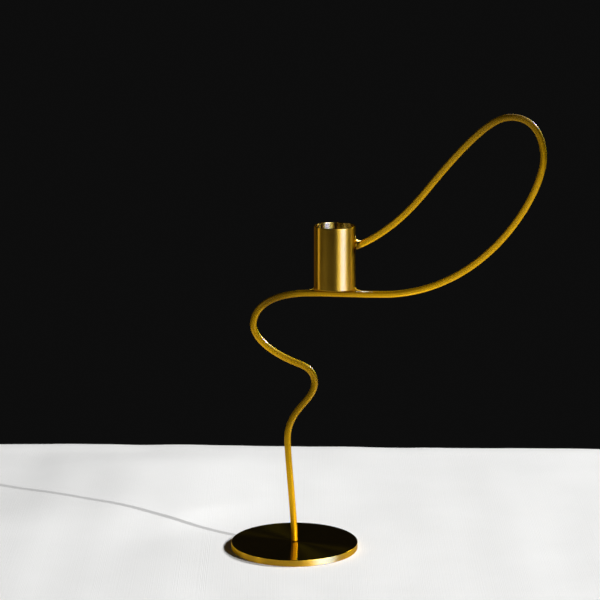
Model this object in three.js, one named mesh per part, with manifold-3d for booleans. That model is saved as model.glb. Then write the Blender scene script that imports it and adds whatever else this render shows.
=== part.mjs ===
// Taper candle holder in brass. One round rod is bent freehand into a wandering stem, a level
// shelf and a tear-shaped loop. It is bolted to a turned disc at the foot, carries a candle cup
// on the shelf, and comes back down at its far end to be brazed to the side of the cup.
//
// Millimetres, +Z up. The origin is the middle of the underside. The rod's centreline lies in
// the upright plane y = 0, and the loop reaches out towards +X.

import * as THREE from 'three';
import { mergeVertices } from 'three/addons/utils/BufferGeometryUtils.js';
import Module from 'manifold-3d';

const wasm = await Module();
wasm.setup();

// Play between two neighbouring solids where one is let into or cut round the other
const seatGap = 0.3;

// Base disc, a turning with a shallow recess under it for the pad
const baseDiameter = 78;
const baseThickness = 4;
const baseBevel = 0.25;

// Felt pad let into the underside
const padThickness = 0.8;
const padStandsProud = 0.2;
const padRim = 3;
const padBevel = 0.15;

// Rod, with a thinner threaded tenon at its foot
const rodDiameter = 4;
const tenonDiameter = 3;
const tenonChamfer = 0.4;

// Nut and washer that draw the rod's shoulder down onto the base
const washerDiameter = 7;
const washerThickness = 0.5;
const nutAcrossFlats = 5.5;
const nutHeight = 1.8;
const nutChamfer = 0.35;
const pocketDiameter = 9;
const pocketEndPlay = 0.1;

// Candle cup, a straight tube with a disc let into its lower end
const cupDiameter = 25;
const cupHeight = 38;
const cupWall = 1.2;
const cupBevel = 0.2;
const cupFloorThickness = 1.5;
const cupOffset = 24.5;

// Stem: how far it leans over to the left, its right and left bends, and the run between them
const leanReach = 4.2;
const leanHeight = 69.4;
const rightBendReach = 12.4;
const rightBendHeight = 105.1;
const crossingReach = 2.7;
const crossingHeight = 116.8;
const crossingHeading = 158;
const leftBendReach = 24.8;
const leftBendHeight = 141.5;

// Shelf under the cup, from where it levels out before the cup to its lowest point after it
const shelfHeight = 160.7;
const shelfFall = 0.9;
const shelfBefore = 15.2;
const shelfAfter = 29.7;

// Loop: its outermost point, its top, the straight run back down, and where its end meets the cup
const loopReach = 149.3;
const loopReachHeight = 242.5;
const loopTopOffset = 129.7;
const loopTopHeight = 267.5;
const returnReach = 83.2;
const returnHeight = 228;
const returnSlope = 51;
const sideJointHeight = 25.2;
const loopEndSlope = 22.5;

// Brazed joint under the cup: the pad between rod and cup, and its runs along the rod's top
const footBrazeThickness = 1.6;
const footBrazeHalfWidth = 4;
const footBrazeGrip = 0.5;
const leftRunLength = 2.6;
const rightRunLength = 3.5;
const runThickness = 0.4;

// Brazed joint at the cup's side: its legs up the wall, across it, and out along the rod
const sideBrazeUp = 3.8;
const sideBrazeAcross = 1.3;
const sideBrazeOut = 4;

// Thickness to which the brazed metal thins out at its edges
const brazeEdge = 0.2;

// Fineness of the facets
const discSides = 96;
const cupSides = 72;
const rodSides = 16;
const rodSteps = 200;
const smallSides = 32;
const brazeSides = 24;
const brazeRings = 7;
const flankSteps = 4;

// How close two corners lie to count as one, and how finely a place on the shelf is sought
const weldDistance = 1e-4;
const halvings = 40;

// Sizes that follow from the ones above
const rodRadius = rodDiameter / 2;
const cupRadius = cupDiameter / 2;
const cupBore = cupRadius - cupWall;
const baseBottom = padStandsProud;
const baseTop = baseBottom + baseThickness;
const recessRadius = baseDiameter / 2 - padRim;
const nutBottom = padThickness + pocketEndPlay;
const washerBottom = nutBottom + nutHeight;
const pocketTop = washerBottom + washerThickness;
const tenonHole = tenonDiameter / 2 + seatGap;

const brass = { color: 0xb68d3c, roughness: 0.34, metalness: 1 };
const rodBrass = { color: 0xa97f2c, roughness: 0.4, metalness: 1 };
const solder = { color: 0xc9b98c, roughness: 0.38, metalness: 1 };
const steel = { color: 0xb4b6b8, roughness: 0.35, metalness: 1 };
const felt = { color: 0x26231f, roughness: 0.95, metalness: 0 };

// Solids

// Turns a closed geometry into a solid that can be joined and cut.
function toSolid(geometry) {
  const bare = geometry.clone();
  bare.deleteAttribute('normal');
  bare.deleteAttribute('uv');
  const merged = mergeVertices(bare, weldDistance);
  const triangles = [];
  for (let i = 0; i < merged.index.count; i += 3) {
    const [a, b, c] = [0, 1, 2].map((k) => merged.index.getX(i + k));
    if (a !== b && b !== c && c !== a) triangles.push(a, b, c);
  }
  const vertProperties = Float32Array.from(merged.getAttribute('position').array);
  const triVerts = Uint32Array.from(triangles);
  return new wasm.Manifold(new wasm.Mesh({ numProp: 3, vertProperties, triVerts }));
}

// Turns a solid back into a geometry.
function toGeometry(solid) {
  const mesh = solid.getMesh();
  const geometry = new THREE.BufferGeometry();
  geometry.setAttribute('position', new THREE.BufferAttribute(mesh.vertProperties, 3));
  geometry.setIndex(new THREE.BufferAttribute(mesh.triVerts, 1));
  return geometry;
}

// Turns an outline of [radius, height] pairs, given anticlockwise, round the upright axis.
function turned(outline, sides) {
  const points = outline.map(([radius, height]) => new THREE.Vector2(radius, height));
  return new THREE.LatheGeometry(points, sides).rotateX(Math.PI / 2);
}

// A plain disc or rod standing on the axis, with its edges bevelled.
function bevelledDisc(radius, bottom, top, bevel, sides) {
  return turned([
    [0, bottom],
    [radius - bevel, bottom],
    [radius, bottom + bevel],
    [radius, top - bevel],
    [radius - bevel, top],
    [0, top],
  ], sides);
}

// A ring standing on the axis, closed on itself.
function flatRing(inner, outer, bottom, top, sides) {
  return turned([
    [inner, bottom],
    [outer, bottom],
    [outer, top],
    [inner, top],
    [inner, bottom],
  ], sides);
}

// A closed solid through rings of points that all run the same way round, with fanned caps.
function loft(rings) {
  const count = rings[0].length;
  const points = rings.flat();
  const capCentres = [rings[0], rings[rings.length - 1]].map((ring) => {
    const sum = ring.reduce((total, point) => total.add(point), new THREE.Vector3());
    return sum.divideScalar(count);
  });
  const firstCap = points.length;
  const lastRing = (rings.length - 1) * count;
  const index = [];
  for (let side = 0; side < count; side++) {
    const next = (side + 1) % count;
    for (let start = 0; start < lastRing; start += count) {
      const [a, b] = [start + side, start + next];
      index.push(a, b, a + count, b, b + count, a + count);
    }
    index.push(firstCap, next, side, firstCap + 1, lastRing + side, lastRing + next);
  }
  const geometry = new THREE.BufferGeometry().setFromPoints([...points, ...capCentres]);
  geometry.setIndex(index);
  return geometry;
}

// The rod's path

// Unit vector in the rod's plane, by its angle above +X in degrees.
function heading(degrees) {
  const angle = THREE.MathUtils.degToRad(degrees);
  return new THREE.Vector3(Math.cos(angle), 0, Math.sin(angle));
}

// The places that fix the rod's course, in order from the foot: where it stands upright, lies
// level, turns back or runs straight. Each has the heading there, and how far the bend before
// it and the one after it hold to that heading.
const stations = [
  { at: [0, baseTop], heads: 90, after: 15 },
  { at: [-leanReach, leanHeight], heads: 90, before: 10.5, after: 19.5 },
  { at: [rightBendReach, rightBendHeight], heads: 90, before: 12, after: 8 },
  { at: [crossingReach, crossingHeight], heads: crossingHeading, before: 3, after: 23 },
  { at: [-leftBendReach, leftBendHeight], heads: 90, before: 6, after: 5 },
  { at: [cupOffset - shelfBefore, shelfHeight], heads: 0, before: 30.5, after: 15 },
  { at: [cupOffset + shelfAfter, shelfHeight - shelfFall], heads: 0, before: 15, after: 61.5 },
  { at: [loopReach, loopReachHeight], heads: 90, before: 21.5, after: 13.5 },
  { at: [loopTopOffset, loopTopHeight], heads: 180, before: 13, after: 7.5 },
  { at: [returnReach, returnHeight], heads: 180 + returnSlope, before: 46, after: 13 },
];

// One bend of the rod between two stations.
function bendBetween(from, to) {
  const start = new THREE.Vector3(from.at[0], 0, from.at[1]);
  const end = new THREE.Vector3(to.at[0], 0, to.at[1]);
  const leave = start.clone().addScaledVector(heading(from.heads), from.after);
  const arrive = end.clone().addScaledVector(heading(to.heads), -to.before);
  return new THREE.CubicBezierCurve3(start, leave, arrive, end);
}

// Height of the rod's centreline over a place on the shelf, from the shelf's own bend.
function shelfHeightAt(x) {
  const shelf = bendBetween(stations[5], stations[6]);
  let [low, high] = [0, 1];
  for (let step = 0; step < halvings; step++) {
    const middle = (low + high) / 2;
    if (shelf.getPoint(middle).x < x) low = middle;
    else high = middle;
  }
  return shelf.getPoint(low).z;
}

const cupBottom = shelfHeightAt(cupOffset) + rodRadius + footBrazeThickness;
const wallFace = cupOffset + cupRadius;
const sideJoint = new THREE.Vector3(wallFace, 0, cupBottom + sideJointHeight);
stations.push({
  at: [sideJoint.x, sideJoint.z], heads: 180 + loopEndSlope, before: 26,
});

// The whole centreline, run on a little past the cup's wall so that the wall can trim it.
function rodPath() {
  const path = new THREE.CurvePath();
  for (let k = 0; k + 1 < stations.length; k++) {
    path.add(bendBetween(stations[k], stations[k + 1]));
  }
  const past = sideJoint.clone().addScaledVector(heading(180 + loopEndSlope), rodRadius);
  path.add(new THREE.LineCurve3(sideJoint, past));
  return path;
}

// A round bar of the given radius along the whole path.
function barAlongPath(radius) {
  const section = new THREE.Shape().absarc(0, 0, radius, 0, 2 * Math.PI);
  return new THREE.ExtrudeGeometry(section, {
    curveSegments: rodSides / 2,
    steps: rodSteps,
    extrudePath: rodPath(),
  });
}

// What is kept clear for the cup's wall.
function cupKeepOut() {
  const radius = cupRadius + seatGap;
  const keepOut = turned([
    [0, cupBottom],
    [radius, cupBottom],
    [radius, cupBottom + cupHeight],
    [0, cupBottom + cupHeight],
  ], cupSides);
  return toSolid(keepOut.translate(cupOffset, 0, 0));
}

// What is kept clear for the rod by the metal brazed round it.
function rodKeepOut() {
  return toSolid(barAlongPath(rodRadius + seatGap));
}

// Pieces

function baseDisc() {
  return turned([
    [tenonHole, pocketTop],
    [pocketDiameter / 2, pocketTop],
    [pocketDiameter / 2, padThickness],
    [recessRadius, padThickness],
    [recessRadius, baseBottom],
    [baseDiameter / 2 - baseBevel, baseBottom],
    [baseDiameter / 2, baseBottom + baseBevel],
    [baseDiameter / 2, baseTop - baseBevel],
    [baseDiameter / 2 - baseBevel, baseTop],
    [tenonHole, baseTop],
    [tenonHole, pocketTop],
  ], discSides);
}

function basePad() {
  return bevelledDisc(recessRadius - seatGap, 0, padThickness, padBevel, discSides);
}

// The bent rod: trimmed by the cup's wall at one end, with the tenon turned on the other.
function stemRod() {
  const tenon = toSolid(turned([
    [0, nutBottom],
    [tenonDiameter / 2 - tenonChamfer, nutBottom],
    [tenonDiameter / 2, nutBottom + tenonChamfer],
    [tenonDiameter / 2, baseTop + rodRadius],
    [0, baseTop + rodRadius],
  ], smallSides));
  const bar = toSolid(barAlongPath(rodRadius));
  return toGeometry(bar.subtract(cupKeepOut()).add(tenon));
}

function stemWasher() {
  return flatRing(tenonHole, washerDiameter / 2, washerBottom, pocketTop, smallSides);
}

// Hexagon nut with its lower corners turned off.
function stemNut() {
  const cornerRadius = nutAcrossFlats / Math.sqrt(3);
  const corners = [0, 1, 2, 3, 4, 5].map((k) => heading(60 * k).multiplyScalar(cornerRadius));
  const outline = new THREE.Shape(corners.map((corner) => new THREE.Vector2(corner.x, corner.z)));
  const prism = new THREE.ExtrudeGeometry(outline, { depth: nutHeight, bevelEnabled: false });
  const cone = turned([
    [tenonHole, nutBottom],
    [cornerRadius - nutChamfer, nutBottom],
    [cornerRadius + nutHeight, nutBottom + nutHeight + nutChamfer],
    [tenonHole, nutBottom + nutHeight + nutChamfer],
    [tenonHole, nutBottom],
  ], smallSides);
  return toGeometry(toSolid(prism.translate(0, 0, nutBottom)).intersect(toSolid(cone)));
}

function candleCupTube() {
  const top = cupBottom + cupHeight;
  return turned([
    [cupBore, cupBottom],
    [cupRadius - cupBevel, cupBottom],
    [cupRadius, cupBottom + cupBevel],
    [cupRadius, top - cupBevel],
    [cupRadius - cupBevel, top],
    [cupBore + cupBevel, top],
    [cupBore, top - cupBevel],
    [cupBore, cupBottom],
  ], cupSides).translate(cupOffset, 0, 0);
}

function candleCupFloor() {
  const top = cupBottom + cupFloorThickness;
  const floor = bevelledDisc(cupBore - seatGap, cupBottom, top, cupBevel, cupSides);
  return floor.translate(cupOffset, 0, 0);
}

// One upright cut across the metal under the cup: hollow flanks from the rod up to a flat top.
function footBrazeSection(x, halfWidth, top) {
  const bottom = shelfHeightAt(x) + footBrazeGrip;
  const bottomHalfWidth = rodRadius + seatGap + brazeEdge;
  const flank = [];
  for (let k = 0; k <= flankSteps; k++) {
    const rise = k / flankSteps;
    const y = bottomHalfWidth + (halfWidth - bottomHalfWidth) * rise ** 2;
    flank.push(new THREE.Vector3(x, y, bottom + (top - bottom) * rise));
  }
  const mirrored = flank.map((point) => new THREE.Vector3(point.x, -point.y, point.z));
  return [...flank, ...mirrored.reverse()];
}

// The metal between rod and cup, thinning out along the rod's top on either side.
function cupFootBraze() {
  const left = cupOffset - cupRadius;
  const right = cupOffset + cupRadius;
  const pad = (x) => footBrazeSection(x, footBrazeHalfWidth, cupBottom);
  const run = (x, thickness) => {
    const rodTop = shelfHeightAt(x) + rodRadius + seatGap;
    return footBrazeSection(x, rodRadius + seatGap + brazeEdge, rodTop + thickness);
  };
  const rings = [
    run(left - leftRunLength, brazeEdge),
    run(left - brazeEdge, runThickness),
    pad(left + brazeEdge),
    pad(right - brazeEdge),
    run(right + brazeEdge, runThickness),
    run(right + rightRunLength, brazeEdge),
  ];
  return toGeometry(toSolid(loft(rings)).subtract(rodKeepOut()));
}

// The saddle of metal over the rod's end, tallest on top where rod and wall close in.
function cupSideBraze() {
  const slope = THREE.MathUtils.degToRad(loopEndSlope);
  const insideWall = cupWall;
  const bare = rodRadius + seatGap + brazeEdge;
  const rings = [];
  for (let k = 0; k <= brazeRings; k++) {
    const out = (sideBrazeOut + insideWall) * (k / brazeRings) - insideWall;
    const fade = (1 - Math.max(out, 0) / sideBrazeOut) ** 3;
    const ring = [];
    for (let side = 0; side < brazeSides; side++) {
      const angle = (2 * Math.PI * side) / brazeSides;
      const [across, up] = [Math.cos(angle), Math.sin(angle)];
      const reach = up > 0 ? bare / Math.cos(slope) + sideBrazeUp * fade : rodRadius;
      const y = across * (bare + sideBrazeAcross * fade);
      const z = out * Math.tan(slope) + up * reach;
      ring.push(new THREE.Vector3(sideJoint.x + out, y, sideJoint.z + z));
    }
    rings.push(ring);
  }
  const block = toSolid(loft(rings));
  return toGeometry(block.subtract(rodKeepOut()).subtract(cupKeepOut()));
}

// Assembly

const pieces = [
  ['base_disc', baseDisc, brass],
  ['base_pad', basePad, felt],
  ['stem_rod', stemRod, rodBrass],
  ['stem_washer', stemWasher, steel],
  ['stem_nut', stemNut, steel],
  ['candle_cup_tube', candleCupTube, brass],
  ['candle_cup_floor', candleCupFloor, brass],
  ['cup_foot_braze', cupFootBraze, solder],
  ['cup_side_braze', cupSideBraze, solder],
];

const candleHolder = new THREE.Group();
for (const [name, make, finish] of pieces) {
  const mesh = new THREE.Mesh(make(), new THREE.MeshStandardMaterial(finish));
  mesh.name = name;
  candleHolder.add(mesh);
}

export default candleHolder;
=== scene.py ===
# %% [markdown]
# # A brass taper candle holder
# One round brass rod wanders up from a turned disc, lies level under a candle cup, sweeps out in
# a tear-shaped loop and comes back to be brazed to the side of the cup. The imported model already
# fixes every size and place. This lesson dresses it: smooth turnings in place of faceted ones,
# a rod swept along its own bends, the small lumps and fillets of brazing metal, and finishes
# made of nodes for turned, brushed and hand-rubbed brass.

import math

import bpy
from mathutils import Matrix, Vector, noise


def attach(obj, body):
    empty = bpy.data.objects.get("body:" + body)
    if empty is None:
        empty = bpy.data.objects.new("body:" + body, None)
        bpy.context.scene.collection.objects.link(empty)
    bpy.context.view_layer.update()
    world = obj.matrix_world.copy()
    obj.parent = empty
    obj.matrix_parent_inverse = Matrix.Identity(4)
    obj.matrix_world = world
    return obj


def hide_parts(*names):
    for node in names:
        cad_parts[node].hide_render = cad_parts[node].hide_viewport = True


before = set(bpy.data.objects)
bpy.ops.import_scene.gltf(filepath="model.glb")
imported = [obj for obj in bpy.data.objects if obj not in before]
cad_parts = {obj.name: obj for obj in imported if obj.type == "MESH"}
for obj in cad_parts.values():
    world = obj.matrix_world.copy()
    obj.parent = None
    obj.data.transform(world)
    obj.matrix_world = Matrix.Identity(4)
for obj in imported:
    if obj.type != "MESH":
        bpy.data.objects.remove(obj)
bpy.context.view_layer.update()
MM = 0.001
print("nodes:", ", ".join(sorted(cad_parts)))

# %% [markdown]
# ## The view
# A product photograph taken from a couple of steps away with a long lens has almost no
# perspective. The holder fills half the frame from 1.5 m away, and the lens looks down by
# about twelve degrees, so the disc shows as a flat ellipse and the cup just shows its mouth.

# %% Camera
camera_data = bpy.data.cameras.new("product_view")
camera_data.sensor_width = 36
camera_data.lens = 148.4
camera = bpy.data.objects.new("product_view", camera_data)
camera.location = (-0.00043, -1.46509, 0.46481)
camera.rotation_euler = [math.radians(angle) for angle in (78.112, 0.044, -0.164)]
bpy.context.scene.collection.objects.link(camera)
bpy.context.scene.camera = camera
bpy.context.scene.view_settings.view_transform = "Standard"
print("camera:", round(camera.location.length, 2), "m away, lens", round(camera_data.lens), "mm")

# %% [markdown]
# ## Shader maths as plain sums
# A finish is worked out from numbers that change over the surface. Wrapping a node's output in a
# small class lets a line such as `0.3 + 0.1 * marks` add its own Math nodes, in either order.
# Every other node comes from one method that takes its type, its settings and its sockets.


# %% The maths class and the node method
class Wire:
    """One output of a node, with Python's own arithmetic."""

    def __init__(self, finish, socket):
        self.finish, self.socket = finish, socket

    def maths(self, operation, *others):
        """A Math node on this number and any others."""
        values = {i + 1: other for i, other in enumerate(others)}
        return self.finish.node("ShaderNodeMath", {"operation": operation}, {0: self, **values})

    def __add__(self, other): return self.maths("ADD", other)
    def __sub__(self, other): return self.maths("SUBTRACT", other)
    def __mul__(self, other): return self.maths("MULTIPLY", other)
    def __truediv__(self, other): return self.maths("DIVIDE", other)
    def __pow__(self, other): return self.maths("POWER", other)
    def __rsub__(self, other): return (self * -1.0) + other
    __radd__, __rmul__ = __add__, __mul__

    def ramp(self, low, high):
        """0 up to low, 1 from high on, and a smooth step between them."""
        settings = {"interpolation_type": "SMOOTHSTEP"}
        sockets = {"Value": self, "From Min": low, "From Max": high}
        return self.finish.node("ShaderNodeMapRange", settings, sockets)


class Finish:
    """A material that is built up node by node."""

    def __init__(self, name):
        self.material = bpy.data.materials.new(name)
        self.material.use_nodes = True
        self.tree = self.material.node_tree
        self.tree.nodes.clear()

    def node(self, kind, settings=None, sockets=None, out=0):
        """Adds a node, sets it, feeds its sockets, and returns one of its outputs."""
        made = self.tree.nodes.new(kind)
        for key, value in (settings or {}).items():
            setattr(made, key, value)
        for key, value in (sockets or {}).items():
            same_name = [s for s in made.inputs if key in (s.identifier, s.name)]
            socket = made.inputs[key] if isinstance(key, int) else same_name[0]
            if isinstance(value, Wire):
                self.tree.links.new(value.socket, socket)
            else:
                socket.default_value = value
        chosen = [s for i, s in enumerate(made.outputs) if out in (i, s.identifier, s.name)]
        return Wire(self, chosen[0]) if chosen else made

    def mixed(self, amount, first, second):
        """A colour between two others."""
        sockets = {"Factor_Float": amount, "A_Color": first, "B_Color": second}
        settings = {"data_type": "RGBA"}
        return self.node("ShaderNodeMix", settings, sockets, "Result_Color")

    def in_mm(self, point):
        """A point's three numbers, in millimetres."""
        return [self.node("ShaderNodeSeparateXYZ", None, {0: point}, axis) * 1000.0
                for axis in "XYZ"]

    def place(self):
        """Where a point lies on its object."""
        return self.in_mm(self.node("ShaderNodeTexCoord", out="Object"))

    def vector(self, x, y, z):
        return self.node("ShaderNodeCombineXYZ", None, {"X": x, "Y": y, "Z": z})

    def clouds(self, vector, scale, detail=2.0):
        """Soft noise about 0.5, with scale waves to the millimetre."""
        sockets = {"Vector": vector, "Scale": scale, "Detail": detail}
        return self.node("ShaderNodeTexNoise", {"noise_dimensions": "3D"}, sockets, "Fac")

    def lines(self, across, scale, detail=2.0):
        """Noise that changes in one direction only, as brush marks do."""
        sockets = {"W": across, "Scale": scale, "Detail": detail}
        return self.node("ShaderNodeTexNoise", {"noise_dimensions": "1D"}, sockets, "Fac")

    def relief(self, height, depth):
        """A normal that follows a height of 0 to 1, over a depth in millimetres."""
        sockets = {"Height": height, "Distance": depth * MM, "Strength": 1.0}
        return self.node("ShaderNodeBump", None, sockets, "Normal")

    def surface(self, **sockets):
        """The Principled shader, and the end of the material."""
        named = {key.replace("_", " "): value for key, value in sockets.items()}
        shader = self.node("ShaderNodeBsdfPrincipled", None, named, "BSDF")
        self.node("ShaderNodeOutputMaterial", None, {"Surface": shader})
        print(self.material.name, "has", len(self.tree.nodes), "nodes")
        return self.material


# %% [markdown]
# ## Light and table
# The holder stands on a white cloth before a dark room. The cloth is a sheet that swells a little
# at the left and falls away round its edges, and its weave is two sets of fine lines. Its far
# edge is rounded so broadly that it darkens softly before it ends, as cloth over padding does.

# %% The cloth
TABLE_BACK, TABLE_FRONT, TABLE_LEFT, TABLE_RIGHT = 315.5, -270.0, -400.0, 680.0
FOLD_RADIUS, DROP = 90.0, 160.0
FLAT_STEPS, FOLD_STEPS, DROP_STEPS = 60, 48, 6
SWELL_HEIGHT, SWELL_MIDDLE, SWELL_WIDTH = 5.6, -108.3, 86.1
SWELL_FRONT, SWELL_BACK = (10.7, 79.3), (237, 170)
RIPPLE_HEIGHT, LIES_LOWER = 0.45, 0.3
FLAT_RADIUS, FLAT_BLEND = 44, 50
EDGE_WAVER, EDGE_SLANT, EDGE_BULGE = 1.2, 0.037, 2.0


def held(value):
    """Keeps a number between 0 and 1."""
    return max(0.0, min(1.0, value))


def over_edge(reach, edge):
    """Turns a length along the cloth into how far out it lies and how far it hangs down."""
    past = abs(reach) - (abs(edge) - FOLD_RADIUS)
    if past <= 0:
        return reach, 0.0
    side = math.copysign(1, reach)
    turn = min(past / FOLD_RADIUS, math.pi / 2)
    out = abs(edge) - FOLD_RADIUS + FOLD_RADIUS * math.sin(turn)
    hang = FOLD_RADIUS * (1 - math.cos(turn)) + max(past - FOLD_RADIUS * math.pi / 2, 0)
    return side * out, hang


def cloth_steps(edge):
    """Lengths along the cloth from the middle out, closer together round the fold."""
    start = abs(edge) - FOLD_RADIUS
    flat = [edge * k / FLAT_STEPS for k in range(FLAT_STEPS)
            if abs(edge) * k / FLAT_STEPS < start - 1]
    fold = [start + FOLD_RADIUS * math.pi / 2 * k / FOLD_STEPS for k in range(FOLD_STEPS + 1)]
    drop = [fold[-1] + DROP * k / DROP_STEPS for k in range(1, DROP_STEPS + 1)]
    return flat + [math.copysign(value, edge) for value in fold + drop]


def eased_step(value, low, high):
    """0 at low and 1 at high, with a smooth step between them."""
    share = held((value - low) / (high - low))
    return share * share * (3 - 2 * share)


def cloth_point(along_x, along_y):
    """A point of the cloth, from how far along it lies both ways."""
    x, hang_x = over_edge(along_x, TABLE_RIGHT if along_x > 0 else TABLE_LEFT)
    y, hang_y = over_edge(along_y, TABLE_BACK if along_y > 0 else TABLE_FRONT)
    swell = (SWELL_HEIGHT * math.exp(-((x - SWELL_MIDDLE) / SWELL_WIDTH) ** 2)
             * eased_step(y, *SWELL_FRONT) * eased_step(y, *SWELL_BACK))
    clear_of_base = held((math.hypot(x, y) - FLAT_RADIUS) / FLAT_BLEND)
    ripple = noise.noise(Vector((x / 30, y / 120, 4.2)))
    ripple += 0.4 * noise.noise(Vector((x / 90, y / 30, 9.7)))
    z = clear_of_base * (swell + RIPPLE_HEIGHT * ripple - LIES_LOWER) - max(hang_x, hang_y)
    wander = (EDGE_WAVER * noise.noise(Vector((x / 45, 3.1, 0))) - EDGE_SLANT * x
              + EDGE_BULGE * math.exp(-((x + 85) / 60) ** 2))
    return x, y + wander * held((y - 150) / 80), z


xs = cloth_steps(TABLE_LEFT)[::-1] + cloth_steps(TABLE_RIGHT)[1:]
ys = cloth_steps(TABLE_FRONT)[::-1] + cloth_steps(TABLE_BACK)[1:]
cloth_mesh = bpy.data.meshes.new("table_cloth")
corners = [Vector(cloth_point(x, y)) * MM for y in ys for x in xs]
wide = len(xs)
squares = [(j * wide + i, j * wide + i + 1, (j + 1) * wide + i + 1, (j + 1) * wide + i)
           for j in range(len(ys) - 1) for i in range(wide - 1)]
cloth_mesh.from_pydata(corners, [], squares)
cloth_mesh.shade_smooth()
cloth = bpy.data.objects.new("table_cloth", cloth_mesh)
bpy.context.scene.collection.objects.link(cloth)
print("cloth:", len(corners), "points")

# %% Cotton for the cloth
cotton = Finish("white_cotton")
x, y, z = cotton.place()
warp_bends = cotton.clouds(cotton.vector(x, y, z), scale=0.05)
weft_bends = cotton.clouds(cotton.vector(y, x, z), scale=0.05)
warp = cotton.lines(x + 0.4 * warp_bends, scale=2.1, detail=1.0)
weft = cotton.lines(y + 0.4 * weft_bends, scale=2.1, detail=1.0)
slub = cotton.clouds(cotton.vector(x, y, z), scale=0.02, detail=3.0)
cloth.data.materials.append(cotton.surface(
    Base_Color=cotton.mixed(slub, (0.80, 0.80, 0.79, 1), (0.86, 0.86, 0.855, 1)),
    Roughness=0.95,
    Specular_IOR_Level=0.0,
    Normal=cotton.relief(0.5 * warp + 0.5 * weft, 0.12),
))


# %% [markdown]
# ## Lamps and cards
# A window at the right lights the cloth, and a low sun throws the rod's long thin shadow across
# it. Polished metal has hardly any colour of its own: it shows what is round it. So those two
# lamps aren't mirrored, and cards that are only mirrored stand in for the room. The cup and the
# disc show a bright window between dark walls, the rubbed rod a dim room on all sides, and the
# brazed joints a patch of sky. Light linking gives each group of pieces its own cards, because a
# handful of flat cards can't be a whole room for every piece at once.
#
# Brass mirrors hardly any blue, yet where the window is brightest the photograph is nearly white.
# A strong blue card on top of the pale ones makes up for that. It stands below the cloth's level,
# where a view from above mirrors it in an upright wall but never in the disc's flat top.
#
# The sun's shadow of the disc is only a narrow crescent in the photograph. So the sun isn't held
# back by the disc itself but by a thin plate inside its body, and by the rod and the cup.

# %% Lamps
HOLDER_MIDDLE = Vector((0.03, 0, 0.1))
BELOW_THE_CLOTH = -10
WHITE = (1, 1, 1)


def lamp(name, azimuth, elevation, distance, size, radiance, colour=WHITE, **seen):
    """A flat lamp that faces the middle of the holder. Azimuth 0 is the camera's side."""
    data = bpy.data.lights.new(name, "AREA")
    data.shape = "RECTANGLE"
    data.size, data.size_y = size
    data.energy = radiance * math.pi * size[0] * size[1]
    data.color = colour
    made = bpy.data.objects.new(name, data)
    turn, rise = math.radians(azimuth), math.radians(elevation)
    level = math.cos(rise)
    towards = Vector((math.sin(turn) * level, -math.cos(turn) * level, math.sin(rise)))
    made.location = HOLDER_MIDDLE + towards * distance
    made.rotation_euler = (-towards).to_track_quat("-Z", "Y").to_euler()
    made.visible_camera = False
    for ray, shown in seen.items():
        setattr(made, "visible_" + ray, shown)
    bpy.context.scene.collection.objects.link(made)
    return made


def gleam(name, azimuth, elevation, distance, size, radiance, colour, receivers):
    """A card that only one collection mirrors. A low one is seen there in spite of the cloth."""
    made = lamp(name, azimuth, elevation, distance, size, radiance, colour, diffuse=False)
    made.light_linking.receiver_collection = receivers
    if elevation < BELOW_THE_CLOTH:
        made.light_linking.blocker_collection = receivers


side_window = lamp("side_window", azimuth=94, elevation=38, distance=8.0, size=(1.2, 1.2),
                   radiance=150.0, glossy=False)
casts_crescent = bpy.data.collections.new("casts_crescent")
side_window.light_linking.blocker_collection = casts_crescent
low_sun = lamp("low_sun", azimuth=55, elevation=16.5, distance=6.0, size=(0.05, 0.05),
               radiance=52000.0, glossy=False)
casts_long_shadow = bpy.data.collections.new("casts_long_shadow")
low_sun.light_linking.blocker_collection = casts_long_shadow
lamp("back_window", azimuth=130, elevation=27, distance=3.0, size=(0.7, 0.5),
     radiance=16.0, diffuse=False)

turned_pieces, cup_only, disc_only, rubbed_pieces, joint_pieces = [
    bpy.data.collections.new(name)
    for name in ("turned_pieces", "cup_only", "disc_only", "rubbed_pieces", "joint_pieces")
]
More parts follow.
